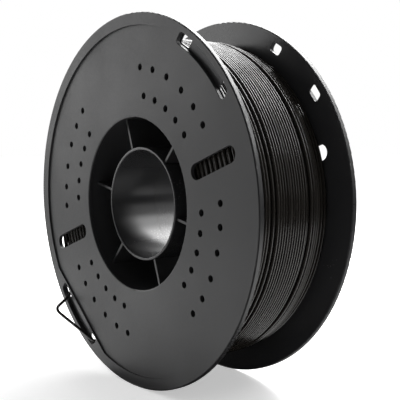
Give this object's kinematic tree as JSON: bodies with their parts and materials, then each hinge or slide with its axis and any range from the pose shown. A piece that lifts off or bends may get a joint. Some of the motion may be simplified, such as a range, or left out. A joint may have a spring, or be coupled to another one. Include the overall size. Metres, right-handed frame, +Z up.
{
  "type": "filament spool",
  "caption": "Full spool of 3D printing filament: two vented flanges on a ribbed hub with a large bore, wound filament and its free end parked in a flange.",
  "frame": {"origin": "centre of the bore, half way between the two flanges", "axes": "Y is the spool's axis, -Y points out of the flange that holds the filament's free end, +Z is up with the spool standing on its rims, +X is to the right seen from the front flange"},
  "size_m": [0.2014, 0.0776, 0.2014],
  "materials": {
    "spool_plastic": "satin moulded black",
    "filament_plastic": "smooth glossy black"
  },
  "bodies": {
    "root": {"front_flange": "spool_plastic", "rear_flange": "spool_plastic", "front_drum": "spool_plastic", "rear_drum": "spool_plastic", "front_bore_tube": "spool_plastic", "rear_bore_tube": "spool_plastic", "front_rib_1": "spool_plastic", "front_rib_2": "spool_plastic", "front_rib_3": "spool_plastic", "front_rib_4": "spool_plastic", "front_rib_5": "spool_plastic", "front_rib_6": "spool_plastic", "rear_rib_1": "spool_plastic", "rear_rib_2": "spool_plastic", "rear_rib_3": "spool_plastic", "rear_rib_4": "spool_plastic", "rear_rib_5": "spool_plastic", "rear_rib_6": "spool_plastic", "hub_latch_1": "spool_plastic", "hub_latch_2": "spool_plastic", "hub_latch_3": "spool_plastic", "filament_winding": "filament_plastic", "filament_tail": "filament_plastic"}
  },
  "joints": []
}
